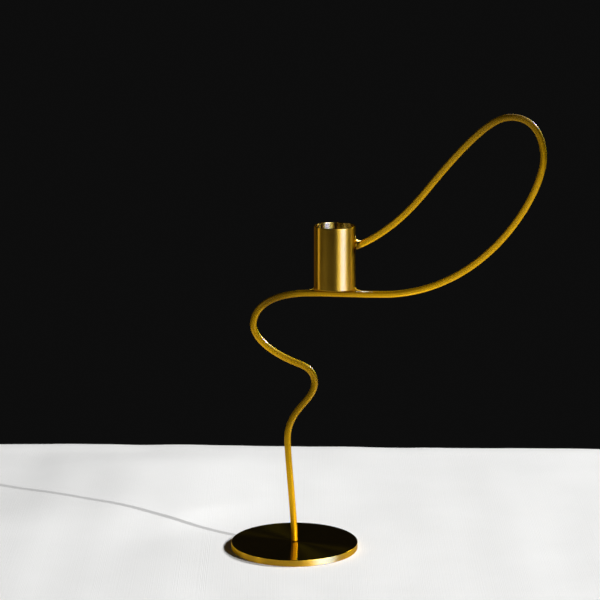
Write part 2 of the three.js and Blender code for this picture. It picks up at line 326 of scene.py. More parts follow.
# Each card has its azimuth, elevation, distance, width and height, radiance and colour.
for receivers, cards in (
    (turned_pieces, (
        ("window_sky", 47, 38, 4.0, (3.2, 2.2), 7.0, WHITE),
        ("left_strip", -101, 0, 1.2, (0.085, 2.0), 3.2, (1.0, 0.9, 0.7)),
        ("left_wall", -150, 0, 1.5, (1.0, 1.6), 0.09, (1.0, 0.8, 0.45)),
        ("right_strip", 104, 0, 1.2, (0.07, 2.0), 1.8, WHITE),
    )),
    (cup_only, (
        ("cup_glare_wide", 43, 16, 4.0, (4.3, 1.0), 7.8, (0.85, 1.0, 1.0)),
        ("cup_glare_core", 46, 16, 4.0, (2.1, 1.0), 4.2, (0.6, 1.0, 1.0)),
        ("cup_glare_cool", 47, -12, 4.0, (2.15, 1.0), 43.0, (0.010, 0.041, 1.0)),
        ("cup_mouth_cool", 47, 16, 3.9, (1.8, 1.0), 64.0, (0.003, 0.018, 1.0)),
    )),
    (disc_only, (
        ("rim_glare_wide", 54, 16, 4.0, (3.9, 1.0), 7.6, (0.9, 1.0, 1.0)),
        ("rim_glare_core", 52, 16, 4.0, (1.9, 1.0), 2.5, (0.4, 1.0, 1.0)),
        ("rim_glare_cool", 56, -12, 4.0, (2.7, 1.0), 470.0, (0.0, 0.022, 1.0)),
        ("rim_glint", -66, 4, 1.2, (0.11, 0.3), 6.5, (1.0, 0.95, 0.8)),
    )),
    (rubbed_pieces, (
        ("back_cool", 130, 27, 3.0, (0.7, 0.5), 260.0, (0.0, 0.05, 1.0)),
        ("back_low", 156, 12, 3.0, (0.3, 0.3), 50.0, (0.6, 0.7, 1.0)),
        ("foot_card", 75, -50, 0.11, (0.03, 0.03), 6.0, WHITE),
        ("room_card_0", 20, -5, 0.5, (0.27, 0.12), 1.9, WHITE),
        ("room_card_1", 45, -5, 0.5, (0.27, 0.12), 1.2, WHITE),
        ("room_card_2", 85, -5, 0.5, (0.5, 0.12), 0.42, WHITE),
        ("room_card_3", -45, -8, 1.6, (1.6, 0.35), 0.3, WHITE),
        ("room_card_4", -15, 15, 1.6, (1.6, 0.5), 1.1, WHITE),
        ("room_card_5", -110, 15, 1.6, (1.6, 0.5), 0.2, WHITE),
        ("room_card_6", 120, 15, 1.6, (0.75, 0.5), 0.4, WHITE),
        ("room_card_7", 150, 15, 1.6, (0.75, 0.5), 0.7, WHITE),
        ("room_card_8", -60, 45, 1.6, (1.1, 0.8), 0.9, WHITE),
        ("room_card_9", 50, 45, 1.6, (1.1, 0.8), 0.75, WHITE),
        ("room_card_10", 100, 45, 1.6, (1.1, 0.8), 0.65, WHITE),
        ("room_card_11", 150, 45, 1.6, (1.1, 0.8), 1.1, WHITE),
    )),
    (joint_pieces, (
        ("joint_sky", 145, 42, 1.6, (2.6, 1.6), 5.0, (0.95, 0.96, 1.0)),
        ("joint_side", 95, 25, 1.6, (0.5, 0.5), 3.0, WHITE),
        ("joint_front", 10, -10, 0.8, (0.8, 0.3), 0.12, WHITE),
    )),
):
    for card in cards:
        gleam(*card, receivers)
    print(receivers.name, "mirror", len(cards), "cards of their own")

# %% [markdown]
# ## The dark room
# Behind the table there is nothing but a black backdrop that a little stray light reaches.

# %% The dark room
world = bpy.data.worlds.new("dark_room")
bpy.context.scene.world = world
world.use_nodes = True
STRAY_LIGHT = 0.0042
backdrop = world.node_tree.nodes["Background"]
backdrop.inputs["Color"].default_value = (STRAY_LIGHT, STRAY_LIGHT, STRAY_LIGHT, 1)
backdrop.inputs["Strength"].default_value = 1.0
print("backdrop:", STRAY_LIGHT)

# %% [markdown]
# ## Turned pieces
# The disc, the cup and its floor all come off a lathe. A turning is an outline of radius and
# height run round the upright axis. Real corners are never sharp, so each corner of the outline
# is first eased to a small radius, with a close line on either side of it so that smooth
# shading leaves the flats flat.


# %% Outline and lathe helpers
def drawn(start, towards, end, steps):
    """Points from start to end on a curve that is drawn towards a third point."""
    return [start * (1 - t) ** 2 + towards * 2 * t * (1 - t) + end * t * t
            for t in (step / steps for step in range(steps + 1))]


def eased(outline, radius, steps=6):
    """Rounds every corner of a closed outline of [radius, height] pairs."""
    made = []
    for k, corner in enumerate(outline):
        here = Vector(corner)
        before = Vector(outline[k - 1]) - here
        after = Vector(outline[(k + 1) % len(outline)]) - here
        reach = min(radius, before.length * 0.4, after.length * 0.4)
        close = min(0.05, reach * 0.3)
        before.normalize()
        after.normalize()
        start, end = here + before * reach, here + after * reach
        made += [start + before * close, *drawn(start, here, end, steps), end + after * close]
    return made


def solid(name, rings, closed_on_itself=False):
    """A mesh through rings of points in mm. An end ring is closed with a fan."""
    count = len(rings[0])
    points = [point for ring in rings for point in ring]
    faces = []
    for k in range(len(rings) if closed_on_itself else len(rings) - 1):
        start, following = k * count, (k + 1) % len(rings) * count
        for side in range(count):
            beside = (side + 1) % count
            faces.append((start + side, start + beside, following + beside, following + side))
    if not closed_on_itself:
        for ring, first in ((rings[0], 0), (rings[-1], (len(rings) - 1) * count)):
            centre = len(points)
            points.append(sum(ring, Vector((0, 0, 0))) / count)
            for side in range(count):
                fan = (centre, first + side, first + (side + 1) % count)
                faces.append(fan[::-1] if first == 0 else fan)
    mesh = bpy.data.meshes.new(name)
    mesh.from_pydata([point * MM for point in points], [], faces)
    mesh.shade_smooth()
    made = bpy.data.objects.new(name, mesh)
    bpy.context.scene.collection.objects.link(made)
    return made


def turned(name, outline, sides=256, middle=(0, 0)):
    """A closed outline, given anticlockwise, turned about an upright axis through middle."""
    rings = []
    for side in range(sides):
        angle = 2 * math.pi * side / sides
        across = Vector((math.cos(angle), math.sin(angle), 0))
        centre = Vector((middle[0], middle[1], 0))
        rings.append([centre + across * r + Vector((0, 0, z)) for r, z in outline])
    return solid(name, rings, closed_on_itself=True)


def dress(piece, material, slot, *nodes):
    """Gives a piece its finish, says what it rides on, and hides the nodes it stands for."""
    piece.data.materials.clear()
    piece.data.materials.append(material)
    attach(piece, "root")
    mirrors = {"base_brass": [turned_pieces, disc_only], "cup_brass": [turned_pieces, cup_only],
               "braze_metal": [joint_pieces]}.get(slot, [rubbed_pieces])
    shades = casts_crescent if slot in ("base_brass", "felt") else casts_long_shadow
    for collection in mirrors + [shades]:
        collection.objects.link(piece)
    if nodes:
        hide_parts(*nodes)
    triangles = sum(len(face.vertices) - 2 for face in piece.data.polygons)
    print(piece.name, triangles, "triangles")


# %% [markdown]
# ## Turned and brushed brass
# Brass is a metal whose reflection is golden. A cutting tool or an abrasive that runs round the
# work leaves grooves round it, and grooves scatter light across themselves. So the highlight is
# drawn out across the grooves, which is what anisotropy does. Finer lines vary the roughness and
# the height, faint clouds stand for handling, and edges are rubbed a little brighter. The
# disc's top is lacquered and glossy, so from the front it mirrors the dark room, and its grooves
# only show as two faint golden streaks either side of the rod.

# %% Finish of the base
BASE_R, BASE_LOW, BASE_TOP = 39.0, 0.2, 4.2
DISC_DEEP, DISC_GOLD = (0.54, 0.29, 0.010, 1), (0.64, 0.365, 0.016, 1)
LACQUERED, RUBBED_EDGE = (0.80, 0.54, 0.012, 1), (0.74, 0.46, 0.022, 1)

turned_brass = Finish("turned_brass")
x, y, z = turned_brass.place()
radius = (x * x + y * y) ** 0.5
across = radius + z
marks = turned_brass.lines(across, scale=5.0, detail=4.0)
drift = turned_brass.clouds(turned_brass.vector(x, y, z), scale=0.2)
passes = turned_brass.lines(across + 0.3 * drift, scale=0.7)
handling = turned_brass.clouds(turned_brass.vector(x, y, z), scale=0.045, detail=4.0)
edge = (across - (BASE_R + BASE_TOP - 0.8)).ramp(0.0, 0.7) * (0.5 + 0.5 * handling)
tone = turned_brass.mixed(0.6 * handling + 0.4 * passes, DISC_DEEP, DISC_GOLD)
top_face = (z - (BASE_TOP - 0.1)).ramp(0.0, 0.08) * ((BASE_R - 0.2) - radius).ramp(0.0, 0.3)
tone = turned_brass.mixed(top_face, tone, LACQUERED)
glossy_top = (z - (BASE_TOP - 0.3)).ramp(0.0, 0.25)
BASE_BRASS = turned_brass.surface(
    Base_Color=turned_brass.mixed(edge, tone, RUBBED_EDGE),
    Metallic=1.0,
    Roughness=0.42 - 0.28 * glossy_top + 0.08 * (marks - 0.5) + 0.06 * (handling - 0.5),
    Specular_Tint=(1.0, 0.78, 0.35, 1),
    Anisotropic=0.92,
    Anisotropic_Rotation=0.25,
    Coat_Weight=0.10 + 0.85 * top_face,
    Coat_Roughness=0.05,
    Normal=turned_brass.relief(0.7 * marks + 0.3 * passes, 0.004),
)

# %% [markdown]
# ## The base disc
# The disc has a small hole for the rod's tenon, a pocket below it for the nut, and a shallow
# recess for the felt. The thin plate inside its body that holds the sun back is not hung on the
# holder's body, and no view shows it.

# %% The base disc
HOLE_R, POCKET_R, POCKET_TOP, RECESS_R, RECESS_TOP = 1.8, 4.5, 3.2, 36.0, 0.8

base_outline = [
    (HOLE_R, POCKET_TOP), (POCKET_R, POCKET_TOP), (POCKET_R, RECESS_TOP), (RECESS_R, RECESS_TOP),
    (RECESS_R, BASE_LOW), (BASE_R, BASE_LOW), (BASE_R, BASE_TOP), (HOLE_R, BASE_TOP),
]
base_disc = turned("base_disc_turned", eased(base_outline, radius=0.28), sides=320)
dress(base_disc, BASE_BRASS, "base_brass", "base_disc")

plate_outline = [(30.0, 0.9), (38.6, 0.9), (38.6, 2.1), (30.0, 2.1)]
shadow_plate = turned("shadow_plate", eased(plate_outline, radius=0.1), sides=128)
shadow_plate.data.materials.append(BASE_BRASS)
casts_long_shadow.objects.link(shadow_plate)

# %% [markdown]
# ## The felt under the base
# A thin felt disc is let into the underside, so that the brass doesn't scratch the table. Felt
# has no weave: it is a mat of short fibres that catches light softly at its edge.

# %% Felt
felt = Finish("wool_felt")
x, y, z = felt.place()
fibres = felt.clouds(felt.vector(x, y, z), scale=2.6, detail=5.0)
tufts = felt.clouds(felt.vector(x, y, z), scale=0.5, detail=3.0)
DARK_WOOL, PALE_WOOL = (0.012, 0.011, 0.010, 1), (0.055, 0.050, 0.045, 1)
WOOL = felt.surface(
    Base_Color=felt.mixed(fibres * tufts * 1.6, DARK_WOOL, PALE_WOOL),
    Roughness=0.96,
    Sheen_Weight=0.5,
    Sheen_Roughness=0.6,
    Specular_IOR_Level=0.15,
    Normal=felt.relief(fibres, 0.25),
)

# %% The felt pad, with a slightly frayed edge
PAD_R, PAD_TOP, FRAY, PAD_SIDES = 35.6, 0.78, 0.06, 160
felt_outline = [(0.0, 0.0), (PAD_R, 0.0), (PAD_R, PAD_TOP), (0.0, PAD_TOP)]
pad_edge = [point for point in eased(felt_outline, radius=0.16, steps=4) if point.x > 0.5]
pad_rings = []
for side in range(PAD_SIDES):
    angle = 2 * math.pi * side / PAD_SIDES
    frayed = FRAY * noise.noise(Vector((math.cos(angle) * 9, math.sin(angle) * 9, 0)))
    across = Vector((math.cos(angle), math.sin(angle), 0))
    pad_rings.append([
        across * (point.x + (frayed if point.x > 30 else 0)) + Vector((0, 0, point.y))
        for point in pad_edge
    ])
base_felt = solid("base_felt_pad", [list(ring) for ring in zip(*pad_rings)])
dress(base_felt, WOOL, "felt", "base_pad")

# %% [markdown]
# ## Nut and washer
# These hide in a pocket under the felt, and hold the rod's foot down. Their solids are right as
# they are, so they keep their mesh and only get zinc-plated steel.

# %% Zinc plate
zinc = Finish("zinc_plate")
x, y, z = zinc.place()
spangle = zinc.clouds(zinc.vector(x, y, z), scale=0.9)
DULL_ZINC, BRIGHT_ZINC = (0.42, 0.43, 0.45, 1), (0.62, 0.62, 0.60, 1)
ZINC = zinc.surface(
    Base_Color=zinc.mixed(spangle, DULL_ZINC, BRIGHT_ZINC),
    Metallic=1.0,
    Roughness=0.28 + 0.25 * spangle,
    Normal=zinc.relief(spangle, 0.01),
)
for name in ("stem_washer", "stem_nut"):
    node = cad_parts[name]
    node.data.materials.clear()
    node.data.materials.append(ZINC)
    print(name, "keeps its solid")

# %% [markdown]
# ## The bent rod
# The rod is the heart of the piece: 54 cm of 4 mm round bar, bent freehand. Its centreline is a
# chain of Bezier bends between places where it stands upright, lies level, turns back or runs
# straight. Blender's own Bezier curve has the same handles, and Geometry Nodes sweep a circle
# along it. They also write down where each point lies on the bar as it was before bending, so
# that its rubbing marks can follow the bends.

# %% The rod's course
CUP_X, SHELF_Z, SHELF_FALL, SHELF_HOLD = 24.5, 160.7, 0.9, 15
CUP_LOW, CUP_TOP, CUP_R, CUP_BORE = 164.061, 202.061, 12.5, 11.3
ROD_R = 2.0
JOINT = Vector((CUP_X + CUP_R, 0, CUP_LOW + 25.2))
END_SLOPE = 22.5

# Each place has its [x, z], its heading, and how far the bends before and after hold to that.
COURSE = [
    ((0, BASE_TOP), 90, 0, 15),
    ((-4.2, 69.4), 90, 10.5, 19.5),
    ((12.4, 105.1), 90, 12, 8),
    ((2.7, 116.8), 158, 3, 23),
    ((-24.8, 141.5), 90, 6, 5),
    ((CUP_X - 15.2, SHELF_Z), 0, 30.5, SHELF_HOLD),
    ((CUP_X + 29.7, SHELF_Z - SHELF_FALL), 0, SHELF_HOLD, 61.5),
    ((149.3, 242.5), 90, 21.5, 13.5),
    ((129.7, 267.5), 180, 13, 7.5),
    ((83.2, 228.0), 231, 46, 13),
    ((JOINT.x, JOINT.z), 180 + END_SLOPE, 26, 4),
]
rod_curve = bpy.data.curves.new("rod_course", "CURVE")
rod_curve.dimensions = "3D"
rod_curve.resolution_u = 64
bends = rod_curve.splines.new("BEZIER")
bends.bezier_points.add(len(COURSE) - 1)
for point, (at, heads, before, after) in zip(bends.bezier_points, COURSE):
    here = Vector((at[0], 0, at[1]))
    way = Vector((math.cos(math.radians(heads)), 0, math.sin(math.radians(heads))))
    point.handle_left_type = point.handle_right_type = "FREE"
    point.co = here * MM
    point.handle_left = (here - way * before) * MM
    point.handle_right = (here + way * after) * MM
rod = bpy.data.objects.new("stem_rod_bent", rod_curve)
bpy.context.scene.collection.objects.link(rod)
rod_length = bends.calc_length() / MM
print("rod length:", round(rod_length, 1), "mm")


# %% [markdown]
# ## A bar swept along a curve
# The node tree takes a curve and gives back a bar with its sizes as inputs. It resamples the
# curve evenly, notes where each ring lies along it, sweeps a circle, and then works out each
# point's place on the straight bar: so far along, and so far out in each direction. A faint
# noise takes a hundredth of a millimetre off here and there, as rubbing by hand does.


# %% Geometry Nodes that sweep a bar along a course
class Steps:
    """A geometry tree that is built up node by node."""

    def __init__(self, name):
        self.tree = bpy.data.node_groups.new(name, "GeometryNodeTree")
        self.start = self.tree.nodes.new("NodeGroupInput")
        self.end = self.tree.nodes.new("NodeGroupOutput")
        for way in ("INPUT", "OUTPUT"):
            kind = "NodeSocketGeometry"
            self.tree.interface.new_socket("Geometry", in_out=way, socket_type=kind)

    def size(self, name, kind):
        """A named input of the tree."""
        self.tree.interface.new_socket(name, in_out="INPUT", socket_type="NodeSocket" + kind)
        return self.start.outputs[name]

    def node(self, kind, settings=None, sockets=None, out=0):
        """Adds a node as Finish does, and returns one of its own output sockets."""
        made = self.tree.nodes.new(kind)
        for key, value in (settings or {}).items():
            setattr(made, key, value)
        for key, value in (sockets or {}).items():
            free = [s for s in made.inputs if key in (s.identifier, s.name) and s.enabled]
            socket = made.inputs[key] if isinstance(key, int) else free[0]
            if isinstance(value, bpy.types.NodeSocket):
                self.tree.links.new(value, socket)
            else:
                socket.default_value = value
        return [s for i, s in enumerate(made.outputs) if out in (i, s.identifier, s.name)][0]


sweep = Steps("swept_bar")
bar_radius = sweep.size("Bar Radius", "Float")
spacing = sweep.size("Ring Spacing", "Float")
sides = sweep.size("Sides", "Int")
unevenness = sweep.size("Unevenness", "Float")
finish_input = sweep.size("Finish", "Material")

course = sweep.node("GeometryNodeResampleCurve", {"mode": "LENGTH"},
                    {"Curve": sweep.start.outputs["Geometry"], "Length": spacing})
along = sweep.node("GeometryNodeSplineParameter", out="Length")
here = sweep.node("GeometryNodeInputPosition")
tangent = sweep.node("GeometryNodeInputTangent")
kept = course
for name, kind, value in (("along", "FLOAT", along), ("middle", "FLOAT_VECTOR", here),
                          ("way", "FLOAT_VECTOR", tangent)):
    kept = sweep.node("GeometryNodeStoreNamedAttribute", {"data_type": kind, "domain": "POINT"},
                      {"Geometry": kept, "Name": name, "Value": value})
ring = sweep.node("GeometryNodeCurvePrimitiveCircle", {"mode": "RADIUS"},
                  {"Resolution": sides, "Radius": bar_radius})
bar = sweep.node("GeometryNodeCurveToMesh", None,
                 {"Curve": kept, "Profile Curve": ring, "Fill Caps": True})


def stored(name, kind):
    return sweep.node("GeometryNodeInputNamedAttribute", {"data_type": kind}, {"Name": name})


def vector_maths(operation, first, second, out="Vector"):
    sockets = {0: first, 1: second}
    return sweep.node("ShaderNodeVectorMath", {"operation": operation}, sockets, out)


offset = vector_maths("SUBTRACT", here, stored("middle", "FLOAT_VECTOR"))
inward = vector_maths("CROSS_PRODUCT", stored("way", "FLOAT_VECTOR"), (0, 1, 0))
unbent = sweep.node("ShaderNodeCombineXYZ", None, {
    "X": vector_maths("DOT_PRODUCT", offset, inward, "Value"),
    "Y": vector_maths("DOT_PRODUCT", offset, (0, 1, 0), "Value"),
    "Z": stored("along", "FLOAT"),
})
bar = sweep.node("GeometryNodeStoreNamedAttribute",
                 {"data_type": "FLOAT_VECTOR", "domain": "POINT"},
                 {"Geometry": bar, "Name": "unbent", "Value": unbent})
for name in ("along", "middle", "way"):
    bar = sweep.node("GeometryNodeRemoveAttribute", None, {"Geometry": bar, "Name": name})
dents = sweep.node("ShaderNodeTexNoise", None,
                   {"Vector": here, "Scale": 90.0, "Detail": 1.0}, "Fac")
inset = sweep.node("ShaderNodeMath", {"operation": "MULTIPLY"}, {0: dents, 1: unevenness})
normal = sweep.node("GeometryNodeInputNormal")
shift = sweep.node("ShaderNodeVectorMath", {"operation": "SCALE"}, {0: normal, "Scale": inset})
bar = sweep.node("GeometryNodeSetPosition", None, {"Geometry": bar, "Offset": shift})
bar = sweep.node("GeometryNodeSetShadeSmooth", None, {"Geometry": bar})
bar = sweep.node("GeometryNodeSetMaterial", None, {"Geometry": bar, "Material": finish_input})
bar = sweep.node("GeometryNodeRealizeInstances", None, {"Geometry": bar})
sweep.tree.links.new(bar, sweep.end.inputs["Geometry"])
print("sweep:", len(sweep.tree.nodes), "nodes")

# %% [markdown]
# ## Rubbed brass for the rod
# The bar was rubbed with abrasive cloth held slantwise, first one way and then a little the
# other, so short fine scratches cross it at a slant. Each scratch is a thin sheet of noise that
# the unbent bar is cut by. The metal under them is a shade deeper where the cloth missed it.
# Stretches along the rod, mostly in its bends and near the cup, are painted darker as painted
# shade, and so are its far end at the cup, the lowest part of its foot and the left flank just
# above the foot. Lacquer has gathered on the outer side of three bends and shows the window as a
# thin white line.

# %% Finish of the rod
rubbed_brass = Finish("rubbed_brass")
side, depth, run = rubbed_brass.in_mm(
    rubbed_brass.node("ShaderNodeAttribute", {"attribute_name": "unbent"}, out="Vector"))
wander = rubbed_brass.clouds(rubbed_brass.vector(side, depth, run), scale=0.25)
one_way = run * 0.86 + side * 0.5 + wander * 0.9
other_way = run * 0.93 - side * 0.36 + depth * 0.2 + wander * 0.6
first_slant = rubbed_brass.lines(one_way, scale=0.9)
other_slant = rubbed_brass.lines(other_way, scale=1.7, detail=1.0)
missed = rubbed_brass.clouds(rubbed_brass.vector(side, depth, run), scale=0.12, detail=1.0)
scratches = 0.6 * first_slant + 0.4 * other_slant


def around(run, middle, reach):
    """1 at one place along the bar, fading to 0 over a reach to both sides."""
    away = (run - middle) / reach
    return (away * away * -1.0).maths("EXPONENT")


# The dark brown that the rod's painted shade is mixed towards.
SHADE_BROWN = (0.08, 0.036, 0.002, 1)
# Each stretch of painted shade has its middle and its reach along the bar, and how strong it is.
SHADE_STRETCHES = [(55, 18, 0.12), (88, 28, 0.60), (120, 22, 0.18), (179, 17, 0.66), (208, 30, 0.30),
           (417, 30, 0.62), (460, 45, 0.24)]
LACQUER_LINES = [(110, 8, 0.35), (145, 13, 0.5), (408, 17, 0.5)]
painted_shade = sum(share * around(run, middle, reach) for middle, reach, share in SHADE_STRETCHES)
lacquer = sum(share * around(run, middle, reach) * (side * -1.0).ramp(0.7, 1.8)
              for middle, reach, share in LACQUER_LINES)
# Painted shade also at the far end by the cup, at the foot where it meets the disc, and on the
# foot's left flank.
joint_shade = (run - rod_length).ramp(-4.0, -1.6)
foot_shade = 1.0 - run.ramp(0.25, 0.7)
foot_left_shade = around(run, 0.0, 17.0) * side.ramp(0.1, 1.4)
painted_shade = painted_shade + 0.8 * joint_shade + 0.9 * foot_shade + 0.75 * foot_left_shade
RUBBED_DEEP, RUBBED_GOLD = (0.79, 0.44, 0.003, 1), (0.88, 0.49, 0.006, 1)
rubbed_tone = rubbed_brass.mixed(0.7 * missed + 0.3 * scratches, RUBBED_DEEP, RUBBED_GOLD)
ROD_BRASS = rubbed_brass.surface(
    Base_Color=rubbed_brass.mixed(painted_shade, rubbed_tone, SHADE_BROWN),
    Metallic=1.0,
    Specular_Tint=(0.95, 0.70, 0.10, 1),
    Roughness=0.50 + 0.07 * (scratches - 0.5) + 0.10 * (missed - 0.5),
    Coat_Weight=0.12 + lacquer,
    Coat_Roughness=0.16,
    Normal=rubbed_brass.relief(scratches, 0.0002),
)

# %% [markdown]
# ## Sweeping the rod
# The tree runs on the rod's course with the rod's own sizes, a hair less in the radius so that
# no point lies outside the solid. Its result is kept as a plain mesh, because the ends are
# shaped point by point next.

# %% Sweep the rod and make it a plain mesh
A_HAIR_LESS = 0.9995
sizes = {"Bar Radius": A_HAIR_LESS * ROD_R * MM, "Ring Spacing": 0.65 * MM, "Sides": 88,
         "Unevenness": -0.012 * MM, "Finish": ROD_BRASS}
modifier = rod.modifiers.new("swept_bar", "NODES")
modifier.node_group = sweep.tree
for item in sweep.tree.interface.items_tree:
    if item.in_out == "INPUT" and item.name in sizes:
        modifier[item.identifier] = sizes[item.name]
evaluated = rod.evaluated_get(bpy.context.evaluated_depsgraph_get())
rod_mesh = bpy.data.meshes.new_from_object(evaluated)
bpy.data.objects.remove(rod)
rod = bpy.data.objects.new("stem_rod_bent", rod_mesh)
bpy.context.scene.collection.objects.link(rod)
print("rod:", len(rod_mesh.vertices), "points")

# %% [markdown]
# ## The rod's two ends
# Its foot is eased a little where it meets the disc, and its lowest part is painted dark in the
# rod's finish, a painted contact shadow that shows as a fine dark line there. Its far end is filed
# hollow to fit the cup's wall: each point past the wall slides back along the rod until it lies
# just inside the metal of the tube. The thin tenon goes on through the disc to the nut, and is
# joined to the rod as one piece.

# %% Shape the ends
FOOT_EASE, FOOT_SHARE = 0.3, 0.22
IN_THE_WALL, JOINT_REACH = 0.45, 8
end_way = Vector((math.cos(math.radians(END_SLOPE)), 0, math.sin(math.radians(END_SLOPE))))
for vertex in rod_mesh.vertices:
    point = vertex.co / MM
    if point.z < BASE_TOP + FOOT_EASE:
        inset = 1 - FOOT_SHARE * ((BASE_TOP + FOOT_EASE - point.z) / FOOT_EASE) ** 2
        vertex.co = Vector((point.x * inset, point.y * inset, point.z)) * MM
    wall = CUP_X + math.sqrt(CUP_R ** 2 - point.y ** 2) - IN_THE_WALL
    if abs(point.z - JOINT.z) < JOINT_REACH and CUP_X < point.x < wall:
        vertex.co = (point + end_way * ((wall - point.x) / end_way.x)) * MM

TENON_R, TENON_LOW, TENON_TOP = 1.5, 0.9, BASE_TOP + 0.5
tenon_outline = [(0.4, TENON_LOW), (TENON_R, TENON_LOW), (TENON_R, TENON_TOP), (0.4, TENON_TOP)]
tenon = turned("tenon", eased(tenon_outline, radius=0.25, steps=3), sides=48)
bpy.ops.object.select_all(action="DESELECT")
tenon.select_set(True)
rod.select_set(True)
bpy.context.view_layer.objects.active = rod
bpy.ops.object.join()
dress(rod, ROD_BRASS, "rod_brass", "stem_rod")

# %% [markdown]
# ## The candle cup
# A length of drawn tube. Its outside was brushed round and round, its inside kept the smooth
# skin of the drawing, and its right side was filed and rubbed again by hand after the rod was
# brazed to it, so darker strokes of the file run aslant there.

# %% Finish of the cup
DEEP_GOLD, GOLD = (0.56, 0.30, 0.022, 1), (0.66, 0.385, 0.036, 1)
DRAWN_GOLD, FILED_BROWN = (0.62, 0.46, 0.11, 1), (0.26, 0.18, 0.012, 1)

brushed_brass = Finish("brushed_brass")
x, y, z = brushed_brass.place()
x = x - CUP_X
radius = (x * x + y * y) ** 0.5
outside = (radius - (CUP_BORE + 0.4)).ramp(0.0, 0.3)
soft = brushed_brass.clouds(brushed_brass.vector(x, y, z), scale=0.1, detail=3.0)
round_marks = brushed_brass.lines(z + 0.25 * soft, scale=1.6, detail=5.0)
slant_marks = brushed_brass.lines(z * 0.3 - y * 0.95 + 1.6 * soft, scale=0.7, detail=3.0)
above = z - (JOINT.z + 3.0)
beside = x - CUP_R
nearness = (above * above * 0.20 + y * y * 0.50 + beside * beside * 0.6) ** 0.5
filed = 1.0 - (nearness + 5.0 * (soft - 0.5)).ramp(4.0, 12.5)
low_right = (x - 4.0).ramp(0.0, 5.0) * (1.0 - (z - CUP_LOW).ramp(4.0, 13.0)) * (soft * 1.2)
hand_work = (filed + low_right).maths("MINIMUM", 1.0) * outside
marks = round_marks * (1.0 - hand_work) + slant_marks * hand_work
strokes = slant_marks.ramp(0.40, 0.60)
tone = brushed_brass.mixed(0.55 * soft + 0.45 * marks, DEEP_GOLD, GOLD)
tone = brushed_brass.mixed(outside, DRAWN_GOLD, tone)
roughened = 0.10 + 0.13 * (marks - 0.5) + 0.16 * low_right * strokes
CUP_BRASS = brushed_brass.surface(
    Base_Color=brushed_brass.mixed(0.7 * filed * strokes * outside, tone, FILED_BROWN),
    Metallic=1.0,
    Roughness=0.24 + outside * roughened + 0.06 * (soft - 0.5),
    Specular_Tint=(1.0, 0.68, 0.26, 1),
    Anisotropic=0.88,
    Anisotropic_Rotation=0.25,
    Normal=brushed_brass.relief(marks * (0.1 + 0.9 * outside) * (1.0 + 5.0 * hand_work), 0.005),
)

# %% [markdown]
# ## The tube and its floor
# The tube is turned like the disc. Its floor is a disc let into its lower end, which the candle
# stands on, with a low rim of solder run up the wall.

# %% The tube and its floor
tube_outline = [(CUP_BORE, CUP_LOW), (CUP_R, CUP_LOW), (CUP_R, CUP_TOP), (CUP_BORE, CUP_TOP)]
cup_tube = turned("cup_tube_drawn", eased(tube_outline, radius=0.3), middle=(CUP_X, 0))
dress(cup_tube, CUP_BRASS, "cup_brass", "candle_cup_tube")

FLOOR_TOP, FLOOR_R, FLOOR_SIDES = CUP_LOW + 1.5, 11.35, 128
floor_outline = [
    (0.3, CUP_LOW), (FLOOR_R - 0.15, CUP_LOW), (FLOOR_R, CUP_LOW + 0.4),
    (FLOOR_R, FLOOR_TOP + 0.5), (10.9, FLOOR_TOP + 0.08), (10.2, FLOOR_TOP), (0.3, FLOOR_TOP),
]
floor_angles = [2 * math.pi * k / FLOOR_SIDES for k in range(FLOOR_SIDES)]
cup_floor = solid("cup_floor_disc", [
    [Vector((CUP_X + r * math.cos(a), r * math.sin(a), height)) for a in floor_angles]
    for r, height in floor_outline
])
dress(cup_floor, CUP_BRASS, "cup_brass", "candle_cup_floor")

# %% [markdown]
# ## Brazing metal
# Brass is joined with a rod of paler alloy that runs into the joint when the torch has it hot
# enough. It draws itself into a hollow fillet in every corner, thins out where it wets the
# surface, and freezes with small lumps where it was fed in. At the cup's foot it was rubbed back
# until it looks as golden as the tube. On top of the side joint it kept its pale, silvery skin;
# the flanks of that joint are painted the deeper gold as painted shade.

# %% Finish of the brazing metal
BETWEEN_THE_JOINTS = 170.0
braze_finish = Finish("brazing_metal")
x, y, z = braze_finish.place()
skin = braze_finish.clouds(braze_finish.vector(x, y, z), scale=0.9, detail=3.0)
pale = braze_finish.mixed(skin, (0.66, 0.46, 0.12, 1), (0.85, 0.69, 0.34, 1))
golden = braze_finish.mixed(skin, (0.42, 0.24, 0.012, 1), (0.60, 0.35, 0.02, 1))
at_side = (z - BETWEEN_THE_JOINTS).ramp(0.0, 1.0)
# Painted shade: on the side joint only the top is pale, and the flanks are painted the deeper
# gold.
side_tone_and_flank_shade = braze_finish.mixed((y * y).ramp(1.4, 3.0), pale, golden)
BRAZE = braze_finish.surface(
    Base_Color=braze_finish.mixed(at_side, golden, side_tone_and_flank_shade),
    Metallic=1.0,
    Specular_Tint=(1.0, 0.82, 0.45, 1),
    Roughness=0.34 - 0.14 * at_side + 0.12 * skin,
    Normal=braze_finish.relief(skin, 0.012),
)

# %% [markdown]
# ## The fillet at the cup's side
# The fillet goes round the upper half of the corner between wall and rod. At each step it finds
# that corner, then reaches up the wall and back along the rod, far on top and hardly at all at
# the sides, and a hollow curve joins the two.

# %% The fillet at the cup's side
FILLET_HALF, FILLET_STEPS, HOLLOW_STEPS = 84, 60, 14
UP_THE_WALL, ALONG_THE_ROD, FILLET_EDGE = 4.8, 4.4, 0.08
